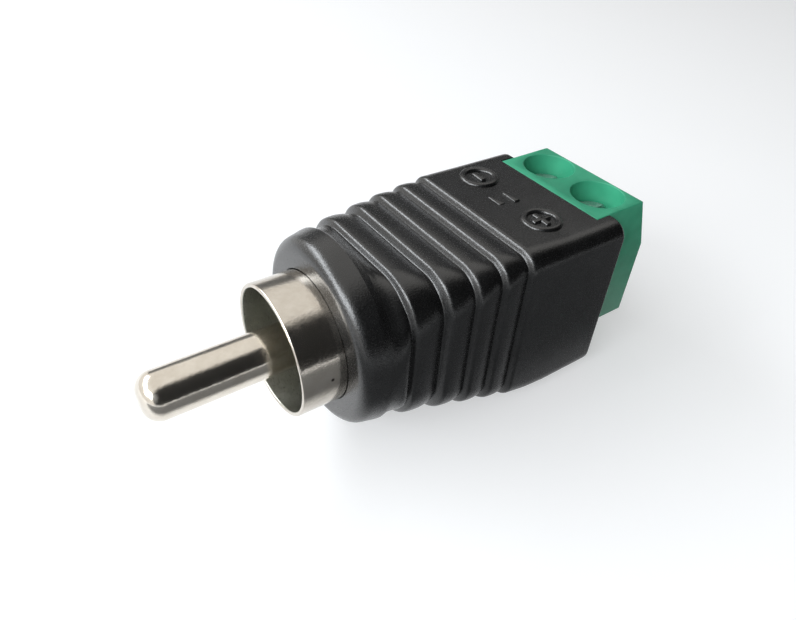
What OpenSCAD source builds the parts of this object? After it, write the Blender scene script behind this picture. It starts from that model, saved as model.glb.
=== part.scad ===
// Phono plug with a two-way screw terminal on its back, for a pair of bare wires.
// All sizes are in millimetres. X runs from the plug towards the terminal, Z is up.
// The origin lies on the plug's axis, in the plane of the shell's mouth.

/* [Centre pin] */
// Diameter of the centre pin
pin_d = 3.175; // [3.1:0.005:3.25]
// How far the pin stands out past the shell's mouth
pin_reach = 8.35; // [7.5:0.05:9]
// Radius of the rounded edge of the pin's nose
pin_nose_r = 1.15; // [0.8:0.05:1.5]
// Diameter of the solder tail behind the insulator
pin_tail_d = 2.2; // [1.9:0.1:2.6]

/* [Shell] */
// Outer diameter of the earth shell
shell_d = 9.08; // [8.9:0.02:9.3]
// Wall of the earth shell
shell_wall = 0.3; // [0.25:0.05:0.4]
// Length of the shell in front of the housing
shell_show = 3.08; // [2.6:0.02:3.4]
// Depth from the shell's mouth to the insulator
cup_depth = 6.2; // [5.8:0.1:6.6]
// Thickness of the insulator
insulator_l = 2.5; // [2:0.1:3]

/* [Housing] */
// Width of the housing
block_w = 13.6; // [13.2:0.1:14.2]
// Height of the housing's top above the plug's axis, at its rear edge
block_top = 5.4; // [5.3:0.05:5.6]
// Depth of the housing's underside below the plug's axis
block_bottom = 8.15; // [7.8:0.05:8.4]
// X of the housing's rear edge
housing_end = 24.55; // [24:0.05:25.2]
// Radius of the round collar at its front edge
collar_front_r = 6.4; // [6.2:0.05:6.6]
// Radius of the round collar at its rear edge
collar_rear_r = 6.78; // [6.6:0.05:7]
// Radius of the collar's rounded front edge
collar_edge_r = 0.6; // [0.3:0.05:0.9]
// X of the groove behind the collar
collar_groove_x = 6.4; // [6.2:0.05:6.5]
// X of the last groove, in front of the square block
last_groove_x = 15.35; // [15.1:0.05:15.5]
// Distance between two ribs
rib_pitch = 2.15; // [2.1:0.02:2.2]
// From a groove's bottom back to the crest of the next rib, which is its steep side
groove_rise = 0.6; // [0.5:0.05:1]
// Depth of the grooves
groove_depth = 0.4; // [0.2:0.05:0.5]

/* [Terminal block] */
// Distance between the two poles
pitch = 5.08; // [5.08:0.01:5.1]
// Width of the terminal block
body_w = 10.12; // [10:0.02:10.2]
// From the housing's rear edge back to the screws' axes
screw_reach = 1.4; // [1.3:0.05:1.5]
// From the housing's rear edge forward to the front edge of the terminal block's top
top_inset = 1.4; // [1.25:0.05:1.55]
// From the housing's rear edge back to the rear edge of the terminal block's top
top_reach = 3.6; // [3.55:0.05:3.75]
// From the housing's rear edge back to the terminal block's vertical rear face
body_reach = 5.25; // [5.05:0.05:5.45]
// Height at which the rear face starts to slant
slant_z = 1.2; // [0.8:0.1:1.6]
// Depth of the terminal block's underside below the plug's axis
body_bottom = 5.46; // [5.4:0.02:5.5]
// Diameter of the holes over the screw heads
screw_hole_d = 4.0; // [3.9:0.05:4.05]

/* [Clamps] */
// Diameter of the screw heads
head_d = 3.7; // [3.6:0.05:3.75]
// Height of the screw heads
head_h = 1.7; // [1.5:0.05:1.8]
// Diameter of the screw shanks
shank_d = 2.9; // [2.84:0.02:2.94]
// How far a clamp cage rises from fully open
cage_travel = 2.0; // [1.6:0.1:2]
// Thickness of the contact bars
bar_t = 0.7; // [0.6:0.05:0.75]

/* [Hidden] */
round_fn = 64;
wire_fn = 32;
over = 1;               // how far a cutting solid reaches past a face
press_gap = 0.02;       // between two pieces that are pressed or glued together
slide_gap = 0.1;        // between a clamp cage and what it slides in
turn_gap = 0.05;        // between a screw's shank and its thread in the cage

// Plug
pin_r = pin_d / 2;
pin_tail_r = pin_tail_d / 2;
shell_r = shell_d / 2;
bore_r = shell_r - shell_wall;
insulator_end = cup_depth + insulator_l;
shell_end = insulator_end + shell_wall;
base_hole_r = 2.4;      // hole in the shell's base, round the pin's tail
pin_step = 0.3;         // the pin is this much thinner inside the insulator
pin_neck_r = pin_r - pin_step;
flange_r = 2.1;         // ring that locks the pin in the insulator
flange_l = 0.7;
flange_x = cup_depth + (insulator_l - flange_l) / 2;
tail_reach = 3.5;       // how far the pin's tail stands out behind the shell
pin_end = shell_end + tail_reach;
cup_r = 0.45;           // solder cup in the pin's tail
cup_l = 2;
tab_y = 3.0;            // inner face of the shell's solder tab
tab_w = 2.4;
tab_l = 4.5;
tab_end = shell_end + tab_l;

// Terminal block, placed from the housing's rear edge. The positive pole lies on the -Y side
screw_x = housing_end + screw_reach;
top_front_x = housing_end - top_inset;
top_rear_x = housing_end + top_reach;
body_rear_x = housing_end + body_reach;
pole_y = pitch / 2;

// Heights inside the terminal block
stop_gap = 0.05;        // left where a clamp cage comes to its stop
bar_top = -1.05;
bar_bottom = bar_top - bar_t;
cage_wall = 0.85;       // the cage's threaded top
jaw_t = 0.7;            // the cage's bottom, which lifts the wire
wire_room = 2.6;        // between the bar and the jaw with the clamp fully open
window_bottom = bar_bottom - wire_room;
cage_bottom = window_bottom - jaw_t;
window_top = bar_top + stop_gap;
cage_top = window_top + cage_wall;
chamber_top = cage_top + cage_travel + stop_gap;
seat_t = 0.25;          // wall between the cage's room and the screw head
head_z = chamber_top + seat_t + press_gap;

// Clamps and contacts
cage_l = 4.3;
cage_side = 0.45;       // walls beside the cage's window
window_w = shank_d + 4 * turn_gap;      // the screw comes down through it as the cage rises
cage_w = window_w + 2 * cage_side;
bar_w = window_w - 2 * slide_gap;
chamber_l = cage_l + 2 * slide_gap;
chamber_w = cage_w + 2 * slide_gap;
chamber_bottom = cage_bottom - stop_gap;
shank_hole_r = shank_d / 2 + 0.17;
ledge_l = 0.85;         // step that the housing's top wall covers
ledge_drop = 1.35;
body_front_x = top_front_x - ledge_l;
ledge_z = block_top - ledge_drop;
entry_w = 2.8;
entry_top = bar_bottom;
entry_bottom = window_bottom - stop_gap;
entry_flare = 0.4;
bar_seat_l = 0.6;       // how far the wide bar stands out in front of the block
tail_l = 2;             // solder tail of a contact, in front of the block
tail_w = 1.8;
tail_x = body_front_x - tail_l;
recess_w = 0.6;         // slot and cross in the screw heads
recess_depth = 0.7;
cross_share = 0.66;     // length of the cross's short bar, of the head's diameter
head_edge = 0.25;       // chamfer round the head

// Leads between the plug and the contacts
conductor_r = 0.3;
insulation_r = 0.65;
bare_l = 0.4;           // bare stretch at each end of a lead
straight_l = 0.7;       // straight stretch at each end of the insulation
lead_z = bar_top + conductor_r + press_gap;
sleeve_y = tab_y - conductor_r - press_gap;
insulation_x = tab_end + bare_l;
insulation_to = tail_x - bare_l;
bend_from = insulation_x + straight_l;
bend_to = insulation_to - straight_l;
conductor_end = body_front_x - bare_l;
cup_overlap = 1.9;      // how far the tip's conductor reaches into the solder cup
tab_overlap = 2.6;      // how far the sleeve's conductor lies on the tab
bend_steps = 12;
wire_sides = 12;

// Solder joints
cone_l = 0.9;
cone_edge = 0.12;       // rim left at both ends of the cone
tab_bead_l = 1.8;
bead_w = 1.5;
bead_h = 0.85;
bead_gap = 0.3;         // from a bead to the nearest end or edge of what it lies on

// Grooves across the housing, from the one behind the collar to the one before the block.
// From each crest the surface falls slowly towards the terminal, and behind the groove it
// rises steeply to the next crest.
rib_count = 4;
groove_steps = 4;       // stations from a crest to a groove's bottom
fall_power = 1.5;       // over 1 keeps the crests broad and draws the fall together
collar_end = collar_groove_x - (rib_pitch - groove_rise);
function groove_x(i) =
    i == 0 ? collar_groove_x : last_groove_x - (rib_count - i) * rib_pitch;
function crest_x(i) = i == 0 ? collar_end : groove_x(i - 1) + groove_rise;

// Outline of the housing along X: round collar, then ribs and block with rounded corners
half_w = block_w / 2;
min_flat = 0.05;        // keeps neighbouring corners of a round section apart
min_corner = 0.4;
corner_steps = 8;
edge_steps = 4;
ribs_from = crest_x(1);
mid_x = (ribs_from + crest_x(rib_count + 1)) / 2;
ribs_to = crest_x(rib_count + 1);
flat_x = ribs_to + 3.8; // from here on, the block's top and underside are level
side_of = [[ribs_from, half_w - 0.28], [mid_x, half_w]];
top_of = [[ribs_from, block_top + 0.35], [mid_x, block_top + 0.18], [ribs_to, block_top + 0.25],
          [flat_x, block_top + 0.06], [housing_end, block_top]];
bottom_of = [[ribs_from, block_bottom - 2.1], [mid_x, block_bottom - 1.5],
             [ribs_to, block_bottom - 0.38], [flat_x - 2, block_bottom - 0.08],
             [flat_x, block_bottom]];
top_corner = [[ribs_from, 3.6], [mid_x, 2.3], [ribs_to, 1.55], [flat_x, 1.3]];
bottom_corner = [[ribs_from, 3.8], [mid_x, 2.5], [ribs_to, 1.7], [flat_x, 1.6]];

// Room inside the housing
cavity_half_w = 4.2;
cavity_top = 2.2;
cavity_bottom = -2.6;

// Depth of the grooves at x, and how much the collar's rounded front edge takes off there
function groove_share(x, i) =
    let (q = groove_x(i), edge = x < q ? crest_x(i) : crest_x(i + 1),
         s = min(1, abs((x - q) / (edge - q))))
    pow((1 + cos(180 * s)) / 2, x < q ? fall_power : 1);
function dip(x) =
    groove_depth * max([for (i = [0:rib_count])
        x > crest_x(i) && x < crest_x(i + 1) ? groove_share(x, i) : 0]);
function edge_round(x) =
    let (d = collar_edge_r - (x - shell_show))
    d <= 0 ? 0 : collar_edge_r - sqrt(max(0, pow(collar_edge_r, 2) - d * d));
function inset(x) = dip(x) + edge_round(x);

// Radius of the collar, and how much of a section is collar: 1 in front, 0 from the ribs on
function collar_r(x) =
    lookup(x, [[shell_show, collar_front_r], [collar_end, collar_rear_r]]);
function collar_share(x) =
    let (t = min(1, max(0, (x - collar_end) / (ribs_from - collar_end))))
    (1 + cos(180 * t)) / 2;
function blend(x, value) =
    let (s = collar_share(x)) s * collar_r(x) + (1 - s) * value;

// One section: half width, top, bottom, and the radii of the upper and lower corners.
// A groove is as deep at the corners as on the flat sides, so a corner's radius shrinks with it.
function section(x) =
    let (g = inset(x),
         a = blend(x, lookup(x, side_of)) - g,
         t = blend(x, lookup(x, top_of)) - g,
         b = blend(x, lookup(x, bottom_of)) - g,
         limit = min(a, (t + b) / 2) - min_flat,
         ct = min(limit, max(min_corner, blend(x, lookup(x, top_corner)) - g)),
         cb = min(limit, max(min_corner, blend(x, lookup(x, bottom_corner)) - g)))
    [a, t, b, ct, cb];

function arc(x, cy, cz, r, from) =
    [for (i = [0:corner_steps])
        let (q = from + 90 * i / corner_steps) [x, cy + r * cos(q), cz + r * sin(q)]];
function ring(x) =
    let (s = section(x), a = s[0], t = s[1], b = s[2], ct = s[3], cb = s[4])
    concat(arc(x, a - ct, t - ct, ct, 0), arc(x, ct - a, t - ct, ct, 90),
           arc(x, cb - a, cb - b, cb, 180), arc(x, a - cb, cb - b, cb, 270));

// Where the sections lie: round the collar's front edge, across each groove, along the block
function stations() =
    concat([for (i = [0:edge_steps]) shell_show + collar_edge_r * (1 - cos(90 * i / edge_steps))],
           [for (i = [0:rib_count], k = [0:2 * groove_steps - 1])
               k < groove_steps
               ? crest_x(i) + (groove_x(i) - crest_x(i)) * k / groove_steps
               : groove_x(i) + (crest_x(i + 1) - groove_x(i)) * (k - groove_steps) / groove_steps],
           [ribs_to, flat_x - 2, flat_x, (flat_x + housing_end) / 2, housing_end]);

module loft(rings) {
    n = len(rings[0]);
    last = len(rings) - 1;
    points = [for (r = rings) each r];
    sides = [for (i = [0:last - 1]) for (j = [0:n - 1])
        let (k = (j + 1) % n, p = i * n + j, q = i * n + k)
        each [[p, p + n, q + n], [p, q + n, q]]];
    front = [for (j = [0:n - 1]) j];
    back = [for (j = [n - 1:-1:0]) last * n + j];
    polyhedron(points, concat([front], sides, [back]), convexity = 8);
}

module along_x(x) {
    translate([x, 0, 0]) rotate([0, 90, 0]) children();
}

// A box given by its lowest and highest corners
module block(low, high) {
    translate(low) cube(high - low);
}

module at_pole(side) {
    translate([screw_x, side * pole_y, 0]) children();
}

module housing() {
    color([0.1, 0.1, 0.11]) difference() {
        loft([for (x = stations()) ring(x)]);
        // seat of the shell
        along_x(shell_show - over)
            cylinder(h = shell_end + press_gap - shell_show + over, r = shell_r + press_gap,
                     $fn = round_fn);
        // room for the leads
        block([shell_end, -cavity_half_w, cavity_bottom],
              [body_front_x, cavity_half_w, cavity_top]);
        // pocket of the terminal block, open at the back
        block([body_front_x - press_gap, -body_w / 2 - press_gap, -body_bottom - press_gap],
              [housing_end + over, body_w / 2 + press_gap, ledge_z + press_gap]);
        // notch in the top wall, where the terminal block comes up flush
        block([top_front_x - press_gap, -body_w / 2 - press_gap, 0],
              [housing_end + over, body_w / 2 + press_gap, block_top + over]);
    }
}

module centre_pin() {
    color([0.8, 0.8, 0.78]) difference() {
        union() {
            // rounded nose
            along_x(-pin_reach) rotate_extrude($fn = round_fn) intersection() {
                union() {
                    translate([pin_r - pin_nose_r, pin_nose_r]) circle(r = pin_nose_r, $fn = round_fn);
                    square([pin_r - pin_nose_r, 2 * pin_nose_r]);
                }
                square([pin_r, pin_nose_r]);
            }
            along_x(pin_nose_r - pin_reach)
                cylinder(h = cup_depth + pin_reach - pin_nose_r, r = pin_r, $fn = round_fn);
            along_x(cup_depth - over)
                cylinder(h = insulator_l + over, r = pin_neck_r, $fn = round_fn);
            // ring that locks it in the insulator, and the solder tail with its cup
            along_x(flange_x) cylinder(h = flange_l, r = flange_r, $fn = round_fn);
            along_x(insulator_end - over)
                cylinder(h = pin_end - insulator_end + over, r = pin_tail_r, $fn = round_fn);
        }
        along_x(pin_end - cup_l) cylinder(h = cup_l + over, r = cup_r, $fn = wire_fn);
    }
}

module outer_shell() {
    color([0.8, 0.8, 0.78]) union() {
        difference() {
            along_x(0) cylinder(h = shell_end, r = shell_r, $fn = round_fn);
            along_x(-over) cylinder(h = insulator_end + over, r = bore_r, $fn = round_fn);
            along_x(insulator_end - over)
                cylinder(h = shell_wall + 2 * over, r = base_hole_r, $fn = round_fn);
        }
        // solder tab, cut from the base and bent back
        block([insulator_end + shell_wall / 2, tab_y, -tab_w / 2],
              [tab_end, tab_y + shell_wall, tab_w / 2]);
    }
}

module insulator() {
    color([0.92, 0.92, 0.88]) difference() {
        along_x(cup_depth)
            cylinder(h = insulator_l - press_gap, r = bore_r - press_gap, $fn = round_fn);
        along_x(cup_depth - over)
            cylinder(h = insulator_l + 2 * over, r = pin_neck_r + press_gap, $fn = round_fn);
        along_x(flange_x - press_gap)
            cylinder(h = flange_l + 2 * press_gap, r = flange_r + press_gap, $fn = round_fn);
    }
}

module pole_room() {
    // screw head, screw shank and clamp cage, from the top down
    translate([0, 0, chamber_top + seat_t])
        cylinder(h = block_top, d = screw_hole_d, $fn = round_fn);
    translate([0, 0, chamber_top - over])
        cylinder(h = seat_t + 2 * over, r = shank_hole_r, $fn = round_fn);
    block([-chamber_l / 2, -chamber_w / 2, chamber_bottom],
          [chamber_l / 2, chamber_w / 2, chamber_top]);
    // slot that the contact bar comes out of
    block([body_front_x - screw_x - over, -bar_w / 2 - press_gap, bar_bottom - press_gap],
          [0, bar_w / 2 + press_gap, bar_top + press_gap]);
    // wire entry with a flared mouth
    block([0, -entry_w / 2, entry_bottom], [body_rear_x - screw_x + over, entry_w / 2, entry_top]);
    translate([body_rear_x - screw_x - entry_flare, 0, 0]) rotate([90, 0, 0])
        linear_extrude(height = entry_w, center = true)
            polygon([[0, entry_bottom], [0, entry_top],
                     [entry_flare + over, entry_top + entry_flare + over],
                     [entry_flare + over, entry_bottom]]);
}

module terminal_body() {
    color([0.25, 0.6, 0.45]) difference() {
        rotate([90, 0, 0]) linear_extrude(height = body_w, center = true)
            polygon([[body_front_x, -body_bottom], [body_front_x, ledge_z],
                     [top_front_x, ledge_z], [top_front_x, block_top],
                     [top_rear_x, block_top], [body_rear_x, slant_z],
                     [body_rear_x, -body_bottom]]);
        for (side = [-1, 1]) at_pole(side) pole_room();
    }
}

module screw(side) {
    color([0.75, 0.76, 0.77]) at_pole(side) difference() {
        union() {
            translate([0, 0, head_z])
                cylinder(h = head_h - head_edge, d = head_d, $fn = round_fn);
            translate([0, 0, head_z + head_h - head_edge])
                cylinder(h = head_edge, d1 = head_d, d2 = head_d - 2 * head_edge, $fn = round_fn);
            translate([0, 0, bar_top + press_gap])
                cylinder(h = head_z + head_h / 2 - bar_top, d = shank_d, $fn = round_fn);
        }
        // driver slot with a shorter bar across it
        translate([0, 0, head_z + head_h - recess_depth]) {
            block([-head_d, -recess_w / 2, 0], [head_d, recess_w / 2, recess_depth + over]);
            block([-recess_w / 2, -head_d * cross_share / 2, 0],
                  [recess_w / 2, head_d * cross_share / 2, recess_depth + over]);
        }
    }
}

module positive_screw() {
    screw(-1);
}

module negative_screw() {
    screw(1);
}

module clamp(side) {
    color([0.8, 0.8, 0.82]) at_pole(side) difference() {
        block([-cage_l / 2, -cage_w / 2, cage_bottom], [cage_l / 2, cage_w / 2, cage_top]);
        block([-cage_l, -window_w / 2, window_bottom], [cage_l, window_w / 2, window_top]);
        translate([0, 0, window_top - over])
            cylinder(h = cage_wall + 2 * over, r = shank_d / 2 + turn_gap, $fn = round_fn);
    }
}

module positive_clamp() {
    clamp(-1);
}

module negative_clamp() {
    clamp(1);
}

module contact(side) {
    color([0.85, 0.84, 0.8]) translate([0, side * pole_y, 0]) union() {
        block([body_front_x - bar_seat_l, -bar_w / 2, bar_bottom],
              [screw_x + chamber_l / 2 - slide_gap, bar_w / 2, bar_top]);
        block([tail_x, -tail_w / 2, bar_bottom], [body_front_x, tail_w / 2, bar_top]);
    }
}

module positive_contact() {
    contact(-1);
}

module negative_contact() {
    contact(1);
}

// A round wire along X with one S-bend, from [y, z] start to [y, z] end
function wire_stations(from_x, to_x) =
    concat([from_x], [for (i = [0:bend_steps]) bend_from + (bend_to - bend_from) * i / bend_steps],
           [to_x]);
function wire_ring(x, r, start, end) =
    let (run = bend_to - bend_from,
         t = min(1, max(0, (x - bend_from) / run)),
         offset = norm(end - start),
         e = (end - start) / offset,
         share = (1 - cos(180 * t)) / 2,
         lean = -atan(offset * PI / 2 * sin(180 * t) / run),
         c = start + share * (end - start))
    [for (j = [0:wire_sides - 1])
        let (q = 360 * j / wire_sides, u = r * cos(q), v = r * sin(q))
        [x + u * sin(lean),
         c[0] + u * cos(lean) * e[0] - v * e[1],
         c[1] + u * cos(lean) * e[1] + v * e[0]]];
module wire(r, from_x, to_x, start, end) {
    loft([for (x = wire_stations(from_x, to_x)) wire_ring(x, r, start, end)]);
}

module conductor(from_x, start, side) {
    color([0.8, 0.5, 0.3]) wire(conductor_r, from_x, conductor_end, start, [side * pole_y, lead_z]);
}

module insulation(shade, start, side) {
    color(shade) difference() {
        wire(insulation_r, insulation_x, insulation_to, start, [side * pole_y, lead_z]);
        wire(conductor_r + press_gap, insulation_x - over, insulation_to + over, start,
             [side * pole_y, lead_z]);
    }
}

module tip_conductor() {
    conductor(pin_end - cup_overlap, [0, 0], -1);
}

module sleeve_conductor() {
    conductor(tab_end - tab_overlap, [sleeve_y, 0], 1);
}

module tip_insulation() {
    insulation([0.75, 0.12, 0.1], [0, 0], -1);
}

module sleeve_insulation() {
    insulation([0.12, 0.12, 0.12], [sleeve_y, 0], 1);
}

// Solder cone on the pin's tail, round the conductor
module tip_solder() {
    color([0.7, 0.7, 0.7]) difference() {
        along_x(pin_end + press_gap)
            cylinder(h = cone_l, r1 = pin_tail_r - cone_edge, r2 = conductor_r + cone_edge,
                     $fn = wire_fn);
        along_x(pin_end - over)
            cylinder(h = cone_l + 2 * over, r = conductor_r + press_gap, $fn = wire_fn);
    }
}

// Solder bead that lies on the tab, with the conductor in it
module sleeve_solder() {
    color([0.7, 0.7, 0.7]) difference() {
        block([tab_end - bead_gap - tab_bead_l, tab_y - bead_h, -bead_w / 2],
              [tab_end - bead_gap, tab_y - press_gap, bead_w / 2]);
        translate([tab_end - bead_gap - tab_bead_l - over, sleeve_y, 0]) rotate([0, 90, 0])
            cylinder(h = tab_bead_l + 2 * over, r = conductor_r + press_gap, $fn = wire_fn);
    }
}

module contact_solder(side) {
    color([0.7, 0.7, 0.7]) translate([0, side * pole_y, 0]) difference() {
        block([tail_x + bead_gap, -bead_w / 2, bar_top + press_gap],
              [conductor_end - bead_gap, bead_w / 2, bar_top + bead_h]);
        translate([tail_x, 0, lead_z]) rotate([0, 90, 0])
            cylinder(h = tail_l + over, r = conductor_r + press_gap, $fn = wire_fn);
    }
}

module positive_solder() {
    contact_solder(-1);
}

module negative_solder() {
    contact_solder(1);
}

housing();
centre_pin();
outer_shell();
insulator();
terminal_body();
positive_screw();
negative_screw();
positive_clamp();
negative_clamp();
positive_contact();
negative_contact();
tip_conductor();
sleeve_conductor();
tip_insulation();
sleeve_insulation();
tip_solder();
sleeve_solder();
positive_solder();
negative_solder();
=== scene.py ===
# %% [markdown]
# # A phono plug with a screw terminal
#
# The real object is an adapter: a nickel-plated phono plug in front, a moulded black housing with four ribs, and a
# green screw terminal at the back for two bare wires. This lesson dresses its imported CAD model. First it loads the
# model as a fixed frame, then it models the pieces whose shape or finish needs more than the CAD solids, and last
# it sets up floor, light and camera. All lengths are in metres, so values in millimetres are multiplied by MM.

# %% The fixed frame
import math

import bmesh
import bpy
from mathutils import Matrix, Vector


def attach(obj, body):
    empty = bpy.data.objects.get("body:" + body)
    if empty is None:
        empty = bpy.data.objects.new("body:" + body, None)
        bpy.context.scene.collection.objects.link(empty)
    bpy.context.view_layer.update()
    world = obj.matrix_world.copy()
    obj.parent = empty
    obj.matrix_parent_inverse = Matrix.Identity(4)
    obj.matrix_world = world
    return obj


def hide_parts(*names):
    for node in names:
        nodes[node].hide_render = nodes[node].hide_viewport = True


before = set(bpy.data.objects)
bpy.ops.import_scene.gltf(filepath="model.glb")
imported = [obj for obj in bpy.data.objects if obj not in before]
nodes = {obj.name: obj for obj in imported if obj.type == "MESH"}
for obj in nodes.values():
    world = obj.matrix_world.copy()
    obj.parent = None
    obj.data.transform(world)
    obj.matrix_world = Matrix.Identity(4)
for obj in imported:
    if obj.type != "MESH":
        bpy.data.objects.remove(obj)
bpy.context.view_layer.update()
for name in ("Cube", "Light", "Camera"):
    if name in bpy.data.objects:
        bpy.data.objects.remove(bpy.data.objects[name])
MM = 0.001
DOUBLES = 0.0005 * MM  # points closer than this are one point

# %% [markdown]
# ## Small helpers
#
# Operators act on everything that is selected, so every step starts by selecting just what it should change. In edit
# mode, faces and edges are picked in code by where they lie, as one would click them by hand. A finished piece gets
# its turn and place applied to its mesh, so that its object sits at the origin.


# %% Selecting, finishing and applying
def only(piece):
    """Selects this piece alone and makes it the active one."""
    bpy.ops.object.select_all(action="DESELECT")
    piece.select_set(True)
    bpy.context.view_layer.objects.active = piece
    return piece


def pick(piece, kind, test):
    """In edit mode, selects the verts, edges or faces that pass the test."""
    bpy.ops.mesh.select_mode(type={"verts": "VERT", "edges": "EDGE", "faces": "FACE"}[kind])
    bpy.ops.mesh.select_all(action="DESELECT")
    mesh = bmesh.from_edit_mesh(piece.data)
    for item in getattr(mesh, kind):
        if test(item):
            item.select_set(True)
    mesh.select_flush_mode()
    bmesh.update_edit_mesh(piece.data)


def settle(piece):
    """Applies place, turn and size, merges doubles and points the faces outwards."""
    only(piece)
    bpy.ops.object.transform_apply(location=True, rotation=True, scale=True)
    bpy.ops.object.mode_set(mode="EDIT")
    bpy.ops.mesh.select_all(action="SELECT")
    bpy.ops.mesh.remove_doubles(threshold=DOUBLES)
    bpy.ops.mesh.normals_make_consistent(inside=False)
    bpy.ops.object.mode_set(mode="OBJECT")
    return piece


def smooth(piece, degrees):
    """Shades smoothly across every edge flatter than the given angle."""
    only(piece)
    bpy.ops.object.shade_smooth_by_angle(angle=math.radians(degrees))
    return piece


def apply_all(piece):
    only(piece)
    for modifier in list(piece.modifiers):
        bpy.ops.object.modifier_apply(modifier=modifier.name)
    return piece


def bevel(piece, name, width, segments):
    """A live bevel, width in millimetres, on every edge sharper than 40 degrees."""
    edges = piece.modifiers.new(name, "BEVEL")
    edges.width = width * MM
    edges.segments = segments
    edges.limit_method = "ANGLE"
    edges.angle_limit = math.radians(40)
    return edges


def join(pieces, name):
    """Joins the pieces into the first one and renames it."""
    only(pieces[0])
    for piece in pieces[1:]:
        piece.select_set(True)
    bpy.ops.object.join()
    pieces[0].name = name
    return pieces[0]


def cut(piece, cutter):
    """Takes the cutter's room out of the piece and removes the cutter."""
    hole = piece.modifiers.new("hole", "BOOLEAN")
    hole.operation = "DIFFERENCE"
    hole.solver = "EXACT"
    hole.object = cutter
    apply_all(piece)
    bpy.data.objects.remove(cutter)
    return piece


# %% [markdown]
# ## The housing
#
# The real housing is moulded in black PVC: a round collar in front grows into a square block, with grooves across
# it. It could be sculpted, but its outline follows a rule: at each place along the plug the section is a rectangle
# with rounded corners, and the collar is a circle blended into it. So a cylinder is added, its long edges are
# subdivided into rings, and each ring is laid on the section that the rule gives there. It is the same rule as in
# the part's source, with finer rings, grooves that rise more sharply as in the photograph, and a rounded rim at the
# rear.

# %% Measures of the housing, in millimetres
shell_d, shell_wall, shell_show, shell_end = 9.08, 0.3, 3.08, 9.0
block_w, block_top, block_bottom, housing_end = 13.6, 5.4, 8.15, 24.55
collar_front_r, collar_rear_r, collar_edge_r, rear_edge_r = 6.4, 6.78, 0.75, 0.25
collar_groove_x, last_groove_x, rib_pitch, rib_count = 6.4, 15.35, 2.15, 4
groove_rise, groove_depth, groove_foot = 0.6, 0.4, 0.37
crest_r, flank_slope, flank_from, soft_reach = 0.3, 1.73, 0.87, 0.03
wide_depth, wide_from, wide_blend, narrow_depth, narrow_x, narrow_run = 0.45, 0.25, 0.5, 0.32, 6, 0.6
wide_shape = [(4.9, 0), (5.15, 0.3), (5.45, 0.68), (5.95, 1), (6.5, 0.95)]
least_flat = 0.05
half_w = block_w / 2
collar_end = collar_groove_x - (rib_pitch - groove_rise)
grooves = [collar_groove_x] + [last_groove_x - (rib_count - i) * rib_pitch for i in range(1, rib_count + 1)]
crests = [collar_end] + [x + groove_rise for x in grooves]
ribs_from, ribs_to = crests[1], crests[-1]
mid_x, flat_x = (ribs_from + ribs_to) / 2, ribs_to + 3.8
side_of = [(ribs_from, half_w - 0.28), (mid_x, half_w)]
top_of = [(ribs_from, block_top + 0.35), (mid_x, block_top + 0.18), (ribs_to, block_top + 0.25),
          (flat_x, block_top + 0.06), (housing_end, block_top)]
bottom_of = [(ribs_from, block_bottom - 2.1), (mid_x, block_bottom - 1.5), (ribs_to, block_bottom - 0.38),
             (flat_x - 2, block_bottom - 0.08), (flat_x, block_bottom)]
top_corner = [(ribs_from, 3.6), (mid_x, 2.3), (ribs_to, 1.55), (flat_x, 1.3)]
bottom_corner = [(ribs_from, 4.05), (mid_x, 2.8), (ribs_to, 1.95), (flat_x, 1.65)]
print("grooves at", [round(x, 2) for x in grooves], "crests at", [round(x, 2) for x in crests])


# %% The rule for one section
def lookup(x, table):
    """The value at x between the table's points, and the first or last value beyond them."""
    if x <= table[0][0]:
        return table[0][1]
    for (x0, v0), (x1, v1) in zip(table, table[1:]):
        if x <= x1:
            return v0 + (v1 - v0) * (x - x0) / (x1 - x0)
    return table[-1][1]


def rise(x, crest):
    """Depth in front of a crest: its round edge, and a flank of 60 degrees below it."""
    run = max(0, crest + soft_reach - x)
    arc_run = min(run, flank_from * crest_r)
    return crest_r - math.sqrt(crest_r ** 2 - arc_run ** 2) + flank_slope * (run - arc_run)


def dip(x, upwards):
    """Depth of the grooves at x. The first one is wide on top and below, and a narrow one at the sides."""
    for before, after in zip(crests[1:], crests[2:]):
        if before < x <= after:
            return min(groove_depth * ((x - before) / (rib_pitch - groove_foot)) ** 2, rise(x, after))
    if collar_end < x <= ribs_from:
        wide_share = min(1, max(0, (abs(upwards) - wide_from) / wide_blend))
        wide = wide_depth * lookup(x, wide_shape)
        narrow = narrow_depth * (max(0, x - narrow_x) / narrow_run) ** 2
        return min(wide_share * wide + (1 - wide_share) * narrow, rise(x, ribs_from))
    return 0


def soft_dip(x, upwards):
    """The mean of the depth over a short way, which rounds the foot of each groove."""
    return sum(dip(x + soft_reach * k / 2, upwards) for k in range(-2, 3)) / 5


def rim(depth, radius):
    """What a rounded rim takes off at the given depth behind its face."""
    return radius - math.sqrt(max(0, radius ** 2 - (radius - depth) ** 2)) if depth < radius else 0


def section(x):
    """Half width, top, bottom and the radii of the upper and lower corners at x, before any groove."""
    share = (1 + math.cos(math.pi * min(1, max(0, (x - collar_end) / (ribs_from - collar_end))))) / 2
    collar_r = lookup(x, [(shell_show, collar_front_r), (collar_end, collar_rear_r)])
    side, top, bottom, upper, lower = (share * collar_r + (1 - share) * lookup(x, table)
                                       for table in (side_of, top_of, bottom_of, top_corner, bottom_corner))
    limit = min(side, (top + bottom) / 2) - least_flat
    return side, top, bottom, min(limit, upper), min(limit, lower)


# %% The rings of the housing: they lie closest where its outline turns
corner_steps = 16
fine_before, fine_after = 0.5, 0.1
fall_from, fall_to = 5.1, 5.74


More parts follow.
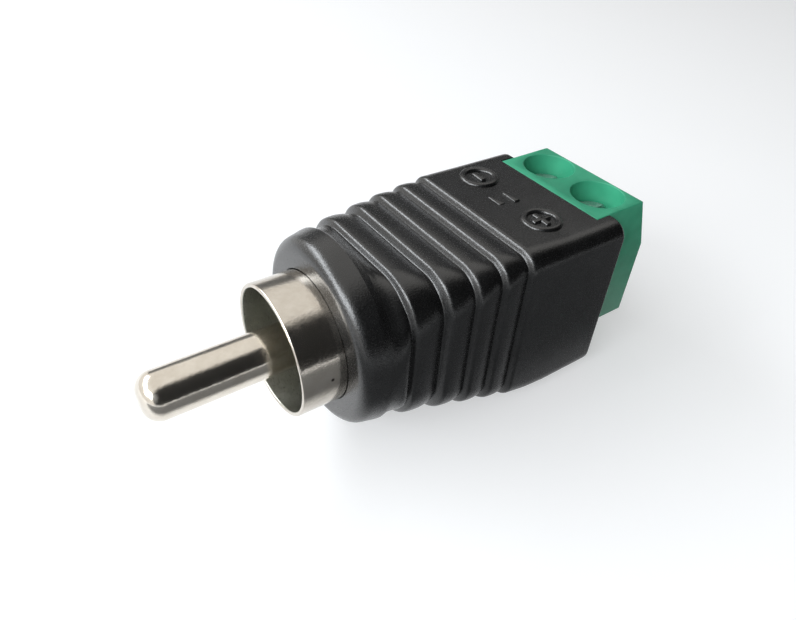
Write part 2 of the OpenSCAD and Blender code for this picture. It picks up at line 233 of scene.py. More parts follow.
def ring_point(x, number):
    """Point of a ring, counted from the +Y side over the top; grooves and rims set it back along its normal."""
    side, top, bottom, upper, lower = section(x)
    quarter, step = divmod(number, corner_steps + 1)
    angle = math.radians(90 * (quarter + step / corner_steps))
    radius = upper if quarter < 2 else lower
    y = (side - radius) * (1 if quarter in (0, 3) else -1)
    z = top - radius if quarter < 2 else radius - bottom
    radius -= soft_dip(x, math.sin(angle)) + rim(x - shell_show, collar_edge_r) + rim(housing_end - x, rear_edge_r)
    return Vector((x, y + radius * math.cos(angle), z + radius * math.sin(angle)))


def spread(start, end, count):
    """Even steps from start to just before end."""
    return [start + (end - start) * i / count for i in range(count)]


stations = [shell_show + collar_edge_r * (1 - math.cos(math.pi / 2 * i / 9)) for i in range(9)]
stations += spread(shell_show + collar_edge_r, fall_from, 6) + spread(fall_from, fall_to, 12)
stations += spread(fall_to, ribs_from - fine_before, 5)
stations += spread(ribs_from - fine_before, ribs_from + fine_after, 20)
for before, after in zip(crests[1:], crests[2:]):
    stations += spread(before + fine_after, after - fine_before, 12)
    stations += spread(after - fine_before, after + fine_after, 18)
stations += spread(ribs_to + fine_after, flat_x, 8) + spread(flat_x, housing_end - rear_edge_r, 9)
stations += [housing_end - rear_edge_r * (1 - math.sin(math.pi / 2 * i / 7)) for i in range(7)]
stations.append(housing_end)
print("rings of the housing:", len(stations))

# %% The housing's skin: a cylinder with a ring each millimetre, whose rings are then laid in place
sides = 4 * (corner_steps + 1)
length = MM * (len(stations) - 1)
bpy.ops.mesh.primitive_cylinder_add(vertices=sides, radius=half_w * MM, depth=length, end_fill_type="NGON",
                                    location=(length / 2, 0, 0), rotation=(0, math.pi / 2, 0))
housing = bpy.context.object
housing.name = "housing_skin"
settle(housing)
bpy.ops.object.mode_set(mode="EDIT")
for cuts in ((len(stations) - 1) // 2 - 1, 1):  # the second call halves every stretch that the first one made
    pick(housing, "edges", lambda e: abs(e.verts[0].co.x - e.verts[1].co.x) > 0.1 * MM)
    bpy.ops.mesh.subdivide(number_cuts=cuts)
bpy.ops.object.mode_set(mode="OBJECT")
for vertex in housing.data.vertices:
    ring = round(vertex.co.x / MM)
    number = round(math.atan2(vertex.co.z, vertex.co.y) / (2 * math.pi) * sides) % sides
    vertex.co = ring_point(stations[ring], number) * MM
print("housing:", len(housing.data.vertices), "points")

# %% [markdown]
# The holes of the housing are cut as in a mould, with plain solids: the round seat of the shell, the room for the
# leads and the square pocket of the terminal, which is open at the top and at the back. Each mouth is a little
# wider at its edge, which gives the small break that moulded edges have.

# %% Cutters for the seat, the room and the pocket
body_w, body_bottom, press_gap = 10.12, 5.46, 0.02
body_front_x, top_front_x, ledge_z = 22.3, 23.15, 4.05
cavity_half_w, cavity_top, cavity_bottom = 4.2, 2.2, -2.6
seat_gap, past_face, overlap, above_top, chamfer = 0.06, 1, 0.5, 0.02, 0.05


def box_cutter(low, high, mouth=None, flare=0.0):
    """A box between two corners in millimetres; its mouth is pulled out and widened by twice the flare."""
    middle = [(a + b) / 2 * MM for a, b in zip(low, high)]
    bpy.ops.mesh.primitive_cube_add(size=1, location=middle)
    cutter = bpy.context.object
    cutter.scale = [(b - a) * MM for a, b in zip(low, high)]
    settle(cutter)
    if mouth:
        axis = Vector(mouth)
        bpy.ops.object.mode_set(mode="EDIT")
        pick(cutter, "faces", lambda f: f.normal.dot(axis) > 0.9)
        bpy.ops.mesh.extrude_region_move(TRANSFORM_OT_translate={"value": axis * (2 * flare * MM)})
        wide = [1 if axis[i] else 1 + 4 * flare / (high[i] - low[i]) for i in range(3)]
        bpy.ops.transform.resize(value=wide, center_override=middle)
        bpy.ops.object.mode_set(mode="OBJECT")
    return cutter


bpy.ops.mesh.primitive_cylinder_add(vertices=128, radius=(shell_d / 2 + seat_gap) * MM,
                                    depth=(shell_end + press_gap - shell_show + past_face) * MM,
                                    location=((shell_end + press_gap + shell_show - past_face) / 2 * MM, 0, 0),
                                    rotation=(0, math.pi / 2, 0))
cut(housing, settle(bpy.context.object))
cut(housing, box_cutter((shell_end - overlap, -cavity_half_w, cavity_bottom),
                        (body_front_x + overlap, cavity_half_w, cavity_top)))
pocket_half_w = body_w / 2 + press_gap
cut(housing, box_cutter((body_front_x - press_gap, -pocket_half_w, -body_bottom - press_gap),
                        (housing_end - chamfer, pocket_half_w, ledge_z + press_gap), (1, 0, 0), chamfer))
cut(housing, box_cutter((top_front_x - press_gap, -pocket_half_w, 0),
                        (housing_end + past_face, pocket_half_w, block_top - chamfer + above_top),
                        (0, 0, 1), chamfer))
smooth(settle(housing), 30)
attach(housing, "connector")
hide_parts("housing")
print("housing with holes:", len(housing.data.polygons), "faces")

# %% [markdown]
# ## The marks on the housing
#
# The mould leaves raised marks on the block's top: a ring with a minus, a ring with a plus, and two short strokes
# between them. They could be bump in the material, but they catch the light at their edges, so they are real
# shapes: flattened rings and rounded bars that are sunk halfway into the top.

# %% Raised rings, signs and strokes
minus_x, minus_y, plus_x, plus_y = 19.6, 3.7, 19.45, -3.22
mark_z = lookup(minus_x, top_of)
ring_r, ring_half, mark_h = 1.24, 0.27, 0.24
bar_share, bar_edge = 1.8, 0.8


def mark_ring(name, x, y):
    """A ring with a flattened round section, round (x, y)."""
    bpy.ops.mesh.primitive_torus_add(major_radius=ring_r * MM, minor_radius=ring_half * MM, major_segments=72,
                                     minor_segments=16, location=(x * MM, y * MM, mark_z * MM))
    ring = bpy.context.object
    ring.scale.z = mark_h / ring_half
    ring.name = name
    return smooth(settle(ring), 60)


def mark_bar(name, x, y, size_x, size_y, height=mark_h):
    """A bar round (x, y), with a body and rounded edges that are shares of its height."""
    bpy.ops.mesh.primitive_cube_add(size=1, location=(x * MM, y * MM, mark_z * MM))
    bar = bpy.context.object
    bar.scale = (size_x * MM, size_y * MM, bar_share * height * MM)
    bar.name = name
    settle(bar)
    bevel(bar, "round_edges", bar_edge * height, 4)
    return smooth(apply_all(bar), 60)


marks = [
    mark_ring("minus_ring", minus_x, minus_y),
    mark_bar("minus_sign", minus_x, minus_y, 0.6, 1.3),
    mark_ring("plus_ring", plus_x, plus_y),
    join([mark_bar("plus_sign", plus_x, plus_y, 0.5, 1.65), mark_bar("plus_arm", plus_x, plus_y, 1.65, 0.5)],
         "plus_sign"),
    mark_bar("front_stroke", 18.45, 0.35, 0.58, 1.35, 0.15),
    mark_bar("rear_stroke", 19.75, 0.25, 0.58, 1.45, 0.16),
]
for mark in marks:
    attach(mark, "connector")
print("marks:", [mark.name for mark in marks])

# %% [markdown]
# ## Pin and shell
#
# Both are turned or drawn parts with nickel plating that mirrors the room, and mirrors show every facet. So each is
# spun from its outline in 160 steps: a circle is added with as many points as the outline has, its points are laid
# on the outline, and the spin operator turns it round the plug's axis.


# %% Spinning an outline
def arc(x, r, radius, start, end, steps):
    """Points of an arc round (x, r), from start to end degrees; 0 points along +X, 90 outwards."""
    return [(x + radius * math.cos(math.radians(start + (end - start) * i / steps)),
             r + radius * math.sin(math.radians(start + (end - start) * i / steps))) for i in range(steps + 1)]


def spun(name, outline, steps=160):
    """A closed piece from its outline, given as (x, radius) in millimetres."""
    bpy.ops.mesh.primitive_circle_add(vertices=len(outline), radius=MM, fill_type="NOTHING")
    piece = bpy.context.object
    piece.name = name
    for vertex, (x, r) in zip(piece.data.vertices, outline):
        vertex.co = (x * MM, 0, max(r, 0) * MM)
    only(piece)
    bpy.ops.object.mode_set(mode="EDIT")
    bpy.ops.mesh.select_all(action="SELECT")
    bpy.ops.mesh.spin(steps=steps, angle=2 * math.pi, center=(0, 0, 0), axis=(1, 0, 0))
    bpy.ops.mesh.select_all(action="SELECT")
    bpy.ops.mesh.remove_doubles(threshold=DOUBLES)
    bpy.ops.mesh.dissolve_degenerate(threshold=DOUBLES)
    bpy.ops.mesh.normals_make_consistent(inside=False)
    bpy.ops.object.mode_set(mode="OBJECT")
    return piece


# %% The centre pin
pin_r, pin_reach, pin_nose_r, pin_neck_r, pin_tail_r = 1.5875, 8.35, 1.15, 1.2875, 1.1
cup_depth, insulator_end, flange_r, flange_x, flange_l, pin_end = 6.2, 8.7, 2.1, 7.1, 0.7, 12.5
cup_r, cup_l = 0.45, 2
pin_outline = [(-pin_reach, 0)]
pin_outline += arc(pin_nose_r - pin_reach, pin_r - pin_nose_r, pin_nose_r, 180, 90, 24)
pin_outline += [(cup_depth, pin_r), (cup_depth, pin_neck_r), (flange_x, pin_neck_r), (flange_x, flange_r),
                (flange_x + flange_l, flange_r), (flange_x + flange_l, pin_neck_r), (insulator_end, pin_neck_r),
                (insulator_end, pin_tail_r), (pin_end, pin_tail_r), (pin_end, cup_r), (pin_end - cup_l, cup_r),
                (pin_end - cup_l, 0)]
pin = smooth(spun("pin_turned", pin_outline), 30)
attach(pin, "connector")
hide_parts("centre_pin")
print("pin:", len(pin.data.polygons), "faces")

# %% The shell, with its solder tab
shell_r, lip, back_hole_r, back_edge_r = shell_d / 2, 0.13, 2.4, 0.2
tab_from, tab_to, tab_inner_y, tab_outer_y, tab_half_w, tab_edge = 8.85, 13.5, 3.0, 3.3, 1.2, 0.05
bore_r = shell_r - shell_wall
shell_outline = arc(lip, shell_r - lip, lip, 90, 180, 6) + arc(lip, bore_r + lip, lip, 180, 270, 6)
shell_outline += [(insulator_end, bore_r), (insulator_end, back_hole_r), (shell_end, back_hole_r)]
shell_outline += arc(shell_end - back_edge_r, shell_r - back_edge_r, back_edge_r, 0, 90, 5)
tab = box_cutter((tab_from, tab_inner_y, -tab_half_w), (tab_to, tab_outer_y, tab_half_w))
bevel(tab, "round_edges", tab_edge, 2)
apply_all(tab)
shell = smooth(join([spun("shell_drawn", shell_outline), tab], "shell_drawn"), 30)
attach(shell, "connector")
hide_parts("outer_shell")
print("shell:", len(shell.data.polygons), "faces")

# %% [markdown]
# ## Softer edges on the CAD pieces
#
# The terminal's shapes are right as they are, but every real edge is a little round and catches a line of light. A
# CAD mesh is never changed, so live modifiers do it: Weld joins the loose triangles, Decimate makes flat areas one
# face again, and Bevel rounds the sharp edges.


# %% Live edge modifiers
def soften(name, width, segments=2):
    """Rounds the sharp edges of a CAD piece without changing its mesh."""
    piece = smooth(nodes[name], 35)
    weld = piece.modifiers.new("weld", "WELD")
    weld.merge_threshold = 0.001 * MM
    flat = piece.modifiers.new("flat_areas", "DECIMATE")
    flat.decimate_type = "DISSOLVE"
    flat.angle_limit = math.radians(1)
    bevel(piece, "soft_edges", width, segments).harden_normals = True


soften("terminal_body", 0.12, 3)
for name in ("positive_screw", "negative_screw"):
    soften(name, 0.06)
for name in ("positive_clamp", "negative_clamp", "positive_contact", "negative_contact"):
    soften(name, 0.08)
print("softened six pieces and the terminal body")

# %% [markdown]
# ## Finishes
#
# Effects that several finishes share are node groups: a moulded grain for the plastics and fine scratches for the
# metals. Both read Object coordinates, which are metres here, so their sizes are real.


# %% Helpers for node trees
def link(tree, source, target):
    """Joins an output to an input."""
    tree.links.new(source, target)


def add(tree, kind, **values):
    """Adds a node and sets its unlinked inputs by name, or its properties when it has no such input."""
    node = tree.nodes.new(kind)
    for name, value in values.items():
        label = name.replace("_", " ")
        match = next((s for s in node.inputs if s.name.lower() == label.lower()), None)
        if match is not None:
            match.default_value = value
        else:
            setattr(node, name, value)
    return node


def new_group(name, inputs, outputs):
    """A node group with named inputs and outputs, and its two end nodes."""
    group = bpy.data.node_groups.new(name, "ShaderNodeTree")
    for label, kind, value in inputs:
        socket = group.interface.new_socket(name=label, in_out="INPUT", socket_type=kind)
        if value is not None:
            socket.default_value = value
    for label, kind in outputs:
        group.interface.new_socket(name=label, in_out="OUTPUT", socket_type=kind)
    return group, group.nodes.new("NodeGroupInput"), group.nodes.new("NodeGroupOutput")


# %% Moulded grain: fine pits and slow unevenness
FLOAT, VECTOR = "NodeSocketFloat", "NodeSocketVector"
grain_group, g_in, g_out = new_group(
    "moulded_grain",
    [("Vector", VECTOR, None), ("Grain Size", FLOAT, 0.05 * MM), ("Grain Depth", FLOAT, 0.004 * MM),
     ("Wave Size", FLOAT, 1.5 * MM), ("Wave Depth", FLOAT, 0.004 * MM)],
    [("Normal", VECTOR), ("Speckle", FLOAT), ("Cloud", FLOAT)])
grain_scale = add(grain_group, "ShaderNodeMath", operation="DIVIDE")
grain_scale.inputs[0].default_value = 1
wave_scale = add(grain_group, "ShaderNodeMath", operation="DIVIDE")
wave_scale.inputs[0].default_value = 1
link(grain_group, g_in.outputs["Grain Size"], grain_scale.inputs[1])
link(grain_group, g_in.outputs["Wave Size"], wave_scale.inputs[1])
grain_noise = add(grain_group, "ShaderNodeTexNoise", detail=3.0, roughness=0.6)
wave_noise = add(grain_group, "ShaderNodeTexNoise", detail=1.0)
for noise, scale in ((grain_noise, grain_scale), (wave_noise, wave_scale)):
    link(grain_group, g_in.outputs["Vector"], noise.inputs["Vector"])
    link(grain_group, scale.outputs[0], noise.inputs["Scale"])
wave_bump = add(grain_group, "ShaderNodeBump", strength=1.0)
grain_bump = add(grain_group, "ShaderNodeBump", strength=1.0)
link(grain_group, g_in.outputs["Wave Depth"], wave_bump.inputs["Distance"])
link(grain_group, g_in.outputs["Grain Depth"], grain_bump.inputs["Distance"])
link(grain_group, wave_noise.outputs["Fac"], wave_bump.inputs["Height"])
link(grain_group, grain_noise.outputs["Fac"], grain_bump.inputs["Height"])
link(grain_group, wave_bump.outputs["Normal"], grain_bump.inputs["Normal"])
link(grain_group, grain_bump.outputs["Normal"], g_out.inputs["Normal"])
link(grain_group, grain_noise.outputs["Fac"], g_out.inputs["Speckle"])
link(grain_group, wave_noise.outputs["Fac"], g_out.inputs["Cloud"])

# %% Fine scratches: noise drawn out along one direction
scratch_group, s_in, s_out = new_group(
    "fine_scratches",
    [("Vector", VECTOR, None), ("Width", FLOAT, 0.02 * MM), ("Depth", FLOAT, 0.0004 * MM)],
    [("Normal", VECTOR), ("Mask", FLOAT)])
s_scale = add(scratch_group, "ShaderNodeMath", operation="DIVIDE")
s_scale.inputs[0].default_value = 1
link(scratch_group, s_in.outputs["Width"], s_scale.inputs[1])
s_noise = add(scratch_group, "ShaderNodeTexNoise", detail=2.0, roughness=0.5)
link(scratch_group, s_in.outputs["Vector"], s_noise.inputs["Vector"])
link(scratch_group, s_scale.outputs[0], s_noise.inputs["Scale"])
s_range = add(scratch_group, "ShaderNodeMapRange", from_min=0.35, from_max=0.65)
link(scratch_group, s_noise.outputs["Fac"], s_range.inputs["Value"])
s_bump = add(scratch_group, "ShaderNodeBump", strength=1.0)
link(scratch_group, s_in.outputs["Depth"], s_bump.inputs["Distance"])
link(scratch_group, s_range.outputs["Result"], s_bump.inputs["Height"])
link(scratch_group, s_bump.outputs["Normal"], s_out.inputs["Normal"])
link(scratch_group, s_range.outputs["Result"], s_out.inputs["Mask"])
print("node groups:", [group.name for group in (grain_group, scratch_group)])


# %% Helpers for materials
def finish(name):
    """A new material with its Principled shader and its Object coordinates."""
    material = bpy.data.materials.new(name)
    material.use_nodes = True
    tree = material.node_tree
    shader = tree.nodes["Principled BSDF"]
    coordinates = tree.nodes.new("ShaderNodeTexCoord").outputs["Object"]
    return material, tree, shader, coordinates


def use_group(tree, group, vector, **values):
    """Places a node group in a material and sets its inputs by name."""
    node = tree.nodes.new("ShaderNodeGroup")
    node.node_tree = group
    link(tree, vector, node.inputs["Vector"])
    for name, value in values.items():
        node.inputs[name.replace("_", " ").title()].default_value = value
    return node


def ramp(tree, factor, stops, target):
    """A colour ramp from the factor to the target; stops are (position, colour)."""
    node = tree.nodes.new("ShaderNodeValToRGB")
    while len(node.color_ramp.elements) < len(stops):
        node.color_ramp.elements.new(0.5)
    for element, (position, colour) in zip(node.color_ramp.elements, stops):
        element.position = position
        element.color = (*colour, 1)
    link(tree, factor, node.inputs["Fac"])
    link(tree, node.outputs["Color"], target)
    return node


def map_range(tree, factor, low, high, target, from_min=0.3, from_max=0.7):
    """Turns a noise value into a value between low and high for the target."""
    node = add(tree, "ShaderNodeMapRange", from_min=from_min, from_max=from_max, to_min=low, to_max=high)
    link(tree, factor, node.inputs["Value"])
    link(tree, node.outputs["Result"], target)


def dress(material, *pieces):
    """Gives the pieces this material alone."""
    for piece in pieces:
        piece.data.materials.clear()
        piece.data.materials.append(material)


# %% [markdown]
# ### Black PVC of the housing
#
# Soft PVC from a blasted mould: black, half matt, with a fine grain that sparkles where light grazes an edge. More
# roughness alone would only dim its lines of light, so the grain is a bump, which breaks them up as on the real one.

# %% Black housing plastic
black, tree, shader, coords = finish("black_plastic")
grain = use_group(tree, grain_group, coords, grain_size=0.1 * MM, grain_depth=0.014 * MM, wave_size=1.6 * MM,
                  wave_depth=0.004 * MM)
ramp(tree, grain.outputs["Cloud"], [(0.3, (0.004, 0.004, 0.004)), (0.7, (0.008, 0.008, 0.008))],
     shader.inputs["Base Color"])
map_range(tree, grain.outputs["Speckle"], 0.18, 0.3, shader.inputs["Roughness"])
link(tree, grain.outputs["Normal"], shader.inputs["Normal"])
shader.inputs["Specular IOR Level"].default_value = 0.8
dress(black, housing, *marks)

# %% [markdown]
# ### Nickel plating
#
# Polished nickel is a slightly warm mirror, and a little uneven, which makes the reflections blotchy. Fine lines run
# round the shell and along the pin. The shell has one tiny pit on its near side. Inside, the shell isn't polished,
# and its colour is darker, as painted shade in the recess. All of it could be one material, but the lines run in two
# directions, so one function makes a finish for each.

# %% Nickel of pin and shell
pit_at, pit_colour = (2.02 * MM, -4.53 * MM, 0.25 * MM), (0.06, 0.05, 0.045, 1)
along_plug, round_plug = (0.12, 1, 1), (1, 0.12, 0.12)


def nickel_finish(name, stretched, polish, dark, light, pit=False):
    """Nickel with lines drawn out along one direction; polish gives its least and greatest roughness."""
    material, tree, shader, coords = finish(name)
    shader.inputs["Metallic"].default_value = 1
    stretch = add(tree, "ShaderNodeMapping")
    stretch.inputs["Scale"].default_value = stretched
    link(tree, coords, stretch.inputs["Vector"])
    lines = use_group(tree, scratch_group, stretch.outputs["Vector"], width=0.03 * MM, depth=0.0001 * MM)
    map_range(tree, lines.outputs["Mask"], polish[0], polish[1], shader.inputs["Roughness"], 0, 1)
    tarnish = add(tree, "ShaderNodeTexNoise", scale=1100.0, detail=3.0, roughness=0.6)
    link(tree, coords, tarnish.inputs["Vector"])
    uneven = add(tree, "ShaderNodeBump", strength=1.0, distance=0.02 * MM)
    link(tree, tarnish.outputs["Fac"], uneven.inputs["Height"])
    link(tree, lines.outputs["Normal"], uneven.inputs["Normal"])
    link(tree, uneven.outputs["Normal"], shader.inputs["Normal"])
    tone = ramp(tree, tarnish.outputs["Fac"], [(0.3, dark), (0.7, light)], shader.inputs["Base Color"])
    if pit:
        distance = add(tree, "ShaderNodeVectorMath", operation="DISTANCE")
        distance.inputs[1].default_value = pit_at
        link(tree, coords, distance.inputs[0])
        inside = add(tree, "ShaderNodeMapRange", from_min=0.06 * MM, from_max=0.16 * MM)
        link(tree, distance.outputs["Value"], inside.inputs["Value"])
        mix = add(tree, "ShaderNodeMix", data_type="RGBA")
        mix.inputs[6].default_value = pit_colour
        link(tree, inside.outputs["Result"], mix.inputs[0])
        link(tree, tone.outputs["Color"], mix.inputs[7])
        link(tree, mix.outputs[2], shader.inputs["Base Color"])
    return material


dress(nickel_finish("nickel_pin", along_plug, (0.12, 0.21), (0.66, 0.605, 0.53), (0.74, 0.69, 0.615)), pin)
dress(nickel_finish("nickel_shell", round_plug, (0.14, 0.22), (0.59, 0.54, 0.475), (0.66, 0.615, 0.55), pit=True),
      shell)
# The inside of the shell: rougher nickel, and a darker colour that is painted shade in the recess.
shell.data.materials.append(nickel_finish("nickel_inside_painted_shade", round_plug, (0.26, 0.38), (0.38, 0.38, 0.33),
                                          (0.46, 0.46, 0.41)))
for face in shell.data.polygons:
    if math.hypot(face.center.y, face.center.z) < (bore_r + 0.05) * MM:
        face.material_index = 1

# %% [markdown]
# ### Green nylon of the terminal
#
# The block is moulded in green nylon, with a finer grain than the housing. One even colour would look painted, so a
# slow noise moves it between two near greens.

# %% Green terminal plastic
green, tree, shader, coords = finish("green_plastic")
grain = use_group(tree, grain_group, coords, grain_size=0.05 * MM, grain_depth=0.0012 * MM, wave_size=1.2 * MM,
                  wave_depth=0.006 * MM)
ramp(tree, grain.outputs["Cloud"], [(0.3, (0.035, 0.28, 0.155)), (0.7, (0.045, 0.32, 0.18))],
     shader.inputs["Base Color"])
map_range(tree, grain.outputs["Speckle"], 0.3, 0.42, shader.inputs["Roughness"])
link(tree, grain.outputs["Normal"], shader.inputs["Normal"])
shader.inputs["Specular IOR Level"].default_value = 0.3
dress(green, nodes["terminal_body"])

# %% [markdown]
# ### The other metals and plastics
#
# The screws and cages are zinc plated, the contact bars tin-plated brass, and the leads copper with coloured
# insulation. Most of them are hidden inside, but each has its own finish for whoever opens the part.


# %% Metals
def metal_finish(name, dark, light, roughness, size, depth, stretch_by=(1, 1, 1)):
    """A metal with worn spots or lines of the given size and depth in millimetres."""
    material, tree, shader, coords = finish(name)
    shader.inputs["Metallic"].default_value = 1
    stretch = add(tree, "ShaderNodeMapping")
    stretch.inputs["Scale"].default_value = stretch_by
    link(tree, coords, stretch.inputs["Vector"])
    wear = use_group(tree, scratch_group, stretch.outputs["Vector"], width=size * MM, depth=depth * MM)
    ramp(tree, wear.outputs["Mask"], [(0, dark), (1, light)], shader.inputs["Base Color"])
    map_range(tree, wear.outputs["Mask"], roughness[0], roughness[1], shader.inputs["Roughness"], 0, 1)
    link(tree, wear.outputs["Normal"], shader.inputs["Normal"])
    return material


zinc = metal_finish("zinc", (0.42, 0.43, 0.44), (0.62, 0.63, 0.64), (0.28, 0.45), 0.12, 0.006)
tin = metal_finish("tinned_brass", (0.5, 0.49, 0.45), (0.66, 0.65, 0.61), (0.25, 0.4), 0.2, 0.002, (0.2, 1, 1))
solder = metal_finish("solder", (0.45, 0.45, 0.45), (0.6, 0.6, 0.6), (0.2, 0.35), 0.3, 0.006)
copper = metal_finish("copper", (0.5, 0.2, 0.1), (0.7, 0.32, 0.17), (0.25, 0.4), 0.06, 0.004, (0.1, 1, 1))
dress(zinc, *(nodes[name] for name in ("positive_screw", "negative_screw", "positive_clamp", "negative_clamp")))
dress(tin, nodes["positive_contact"], nodes["negative_contact"])
dress(solder, *(nodes[name] for name in ("tip_solder", "sleeve_solder", "positive_solder", "negative_solder")))
dress(copper, nodes["tip_conductor"], nodes["sleeve_conductor"])


# %% Plastics inside
def plastic_finish(name, dark, light, roughness):
    """A moulded plastic between two near colours."""
    material, tree, shader, coords = finish(name)
    grain = use_group(tree, grain_group, coords, grain_size=0.06 * MM, grain_depth=0.002 * MM, wave_size=1 * MM,
                      wave_depth=0.004 * MM)
    ramp(tree, grain.outputs["Cloud"], [(0.3, dark), (0.7, light)], shader.inputs["Base Color"])
    map_range(tree, grain.outputs["Speckle"], roughness - 0.06, roughness + 0.06, shader.inputs["Roughness"])
    link(tree, grain.outputs["Normal"], shader.inputs["Normal"])
    return material


dress(plastic_finish("white_plastic", (0.68, 0.68, 0.63), (0.76, 0.76, 0.71), 0.5), nodes["insulator"])
dress(plastic_finish("red_insulation", (0.33, 0.012, 0.01), (0.42, 0.02, 0.015), 0.45), nodes["tip_insulation"])
dress(plastic_finish("black_insulation", (0.012, 0.012, 0.012), (0.022, 0.022, 0.022), 0.45),
      nodes["sleeve_insulation"])
print("materials:", len(bpy.data.materials))

# %% [markdown]
# ## Floor, light and camera
#
# The plug stands on a pale floor under soft light. In the photograph the nickel mirrors a bright room overhead and
# a dark one behind the camera, and each rib shows two thin lines of light, which need two windows at the left. So
# there are two soft panels that only light, two bright windows that also show in reflections, and a world that is
# white to look at. The dark parts of the reflections are painted shade: three cards that only reflections see and
# that neither light nor shade anything, a black one behind the camera, a grey one on the floor in front that is a
# painted shadow, and another one behind the plug. Their edges fade out.

# %% Floor
aim_x, floor_z = 0.012, -block_bottom * MM
bpy.ops.mesh.primitive_plane_add(size=1.2, location=(aim_x, 0, floor_z))
floor = bpy.context.object
floor.name = "floor"
floor_paint = bpy.data.materials.new("floor_paint")
floor_paint.use_nodes = True
floor_shader = floor_paint.node_tree.nodes["Principled BSDF"]
floor_shader.inputs["Base Color"].default_value = (0.64, 0.64, 0.64, 1)
floor_shader.inputs["Roughness"].default_value = 0.9
floor_shader.inputs["Specular IOR Level"].default_value = 0
floor_shader.inputs["Emission Color"].default_value = (1, 1, 1, 1)
floor.data.materials.append(floor_paint)


# %% World and floor: pale to look at and in reflections, while they add next to no light
def seen_strength(tree, unseen, seen, target):
    """A strength for camera, glossy and transmission rays, and another one for the light itself."""
    path = tree.nodes.new("ShaderNodeLightPath")
    either = add(tree, "ShaderNodeMath", operation="MAXIMUM")
    link(tree, path.outputs["Is Camera Ray"], either.inputs[0])
    link(tree, path.outputs["Is Glossy Ray"], either.inputs[1])
    any_of = add(tree, "ShaderNodeMath", operation="MAXIMUM")
    link(tree, either.outputs[0], any_of.inputs[0])
    link(tree, path.outputs["Is Transmission Ray"], any_of.inputs[1])
    strength = add(tree, "ShaderNodeMapRange", to_min=unseen, to_max=seen)
    link(tree, any_of.outputs[0], strength.inputs["Value"])
    link(tree, strength.outputs["Result"], target)


world = bpy.data.worlds.new("studio")
bpy.context.scene.world = world
world.use_nodes = True
background = world.node_tree.nodes["Background"]
background.inputs["Color"].default_value = (1, 0.98, 0.94, 1)
seen_strength(world.node_tree, 0.06, 1.0, background.inputs["Strength"])
seen_strength(floor_paint.node_tree, 0.0, 0.4, floor_shader.inputs["Emission Strength"])


# %% Panels and windows
def direction(azimuth, elevation):
    """Where a lamp or a card lies, seen from the plug, in degrees."""
    a, e = math.radians(azimuth), math.radians(elevation)
    return Vector((math.cos(e) * math.cos(a), math.cos(e) * math.sin(a), math.sin(e)))


AIM = Vector((aim_x, 0, 0))
daylight = (0.92, 0.96, 1)


def panel(name, azimuth, elevation, distance, width, height, radiance, colour=(1, 1, 1)):
    """A panel that faces the plug; radiance is how bright its surface looks."""
    data = bpy.data.lights.new(name, "AREA")
    data.shape = "RECTANGLE"
    data.size, data.size_y = width, height
    data.energy = radiance * math.pi * width * height
    data.color = colour
    lamp = bpy.data.objects.new(name, data)
    bpy.context.scene.collection.objects.link(lamp)
    towards = direction(azimuth, elevation)
    lamp.location = AIM + towards * distance
    lamp.rotation_euler = towards.to_track_quat("Z", "Y").to_euler()
    return lamp


overhead = panel("overhead_panel", 140, 58, distance=0.25, width=0.4, height=0.2, radiance=0.5)
far_side = panel("far_panel", 72, 33, distance=0.3, width=0.45, height=0.12, radiance=0.5)
for soft in (overhead, far_side):
    soft.visible_glossy = False
panel("rear_window", 137, 37, distance=0.28, width=0.3, height=0.075, radiance=9.0, colour=daylight)
panel("front_window", 201, 32, distance=0.28, width=0.3, height=0.1, radiance=9.5, colour=daylight)


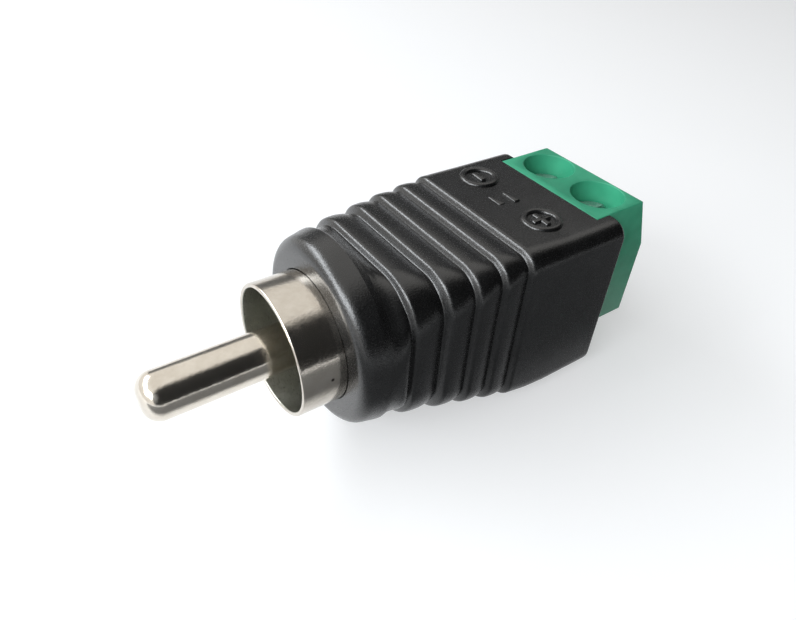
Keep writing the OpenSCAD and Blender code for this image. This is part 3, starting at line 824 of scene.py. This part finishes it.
# %% Cards of painted shade that only reflections see
def card(name, place, facing, width, height, shade, fade):
    """A card of painted shade that only reflections see; its long edges fade out over the given share of its height.
    """
    bpy.ops.mesh.primitive_plane_add(size=1, location=place)
    piece = bpy.context.object
    piece.name = name
    piece.scale = (width, height, 1)
    piece.rotation_euler = facing.to_track_quat("Z", "Y").to_euler()
    paint = bpy.data.materials.new(name + "_paint")
    paint.use_nodes = True
    tree = paint.node_tree
    card_shader = tree.nodes["Principled BSDF"]
    card_shader.inputs["Base Color"].default_value = (shade, shade, shade, 1)
    card_shader.inputs["Roughness"].default_value = 1
    spot = tree.nodes.new("ShaderNodeSeparateXYZ")
    link(tree, tree.nodes.new("ShaderNodeTexCoord").outputs["Object"], spot.inputs[0])
    from_middle = add(tree, "ShaderNodeMath", operation="ABSOLUTE")
    link(tree, spot.outputs["Y"], from_middle.inputs[0])
    solid = add(tree, "ShaderNodeMapRange", interpolation_type="SMOOTHSTEP", from_min=0.5, from_max=0.5 - fade)
    link(tree, from_middle.outputs[0], solid.inputs["Value"])
    link(tree, solid.outputs["Result"], card_shader.inputs["Alpha"])
    piece.data.materials.append(paint)
    piece.visible_camera = False
    piece.visible_diffuse = False
    piece.visible_shadow = False
    piece.visible_transmission = False


behind_camera, behind_plug, upwards = direction(-75, 30), direction(38, 20), Vector((0, 0, 1))
in_front = Vector((aim_x, -0.035, floor_z + 0.0002))
# The black card is painted shade: a dark room behind the camera, seen only in reflections.
card("black_card", AIM + behind_camera * 0.13, behind_camera, width=0.5, height=0.31, shade=0.01, fade=0.25)
# The grey card is a painted shadow: the floor's shade in front of the plug, seen only in reflections.
card("grey_card", in_front, upwards, width=0.2, height=0.062, shade=0.17, fade=0.1)
# The far card is painted shade: a darker room behind the plug, seen only in reflections.
card("far_card", AIM + behind_plug * 0.15, behind_plug, width=0.42, height=0.12, shade=0.12, fade=0.3)

# %% Camera, at the place and angle solved from the photograph
scene = bpy.context.scene
camera_data = bpy.data.cameras.new("camera")
camera = bpy.data.objects.new("camera", camera_data)
scene.collection.objects.link(camera)
camera.location = (-11.68228 * MM, -28.87721 * MM, 29.005 * MM)
camera.rotation_euler = [math.radians(a) for a in (50.3476, -2.9450, -34.4655)]
camera_data.sensor_width = 36
camera_data.lens = 29.509
camera_data.clip_start = 0.001
scene.camera = camera
scene.view_settings.view_transform = "Standard"
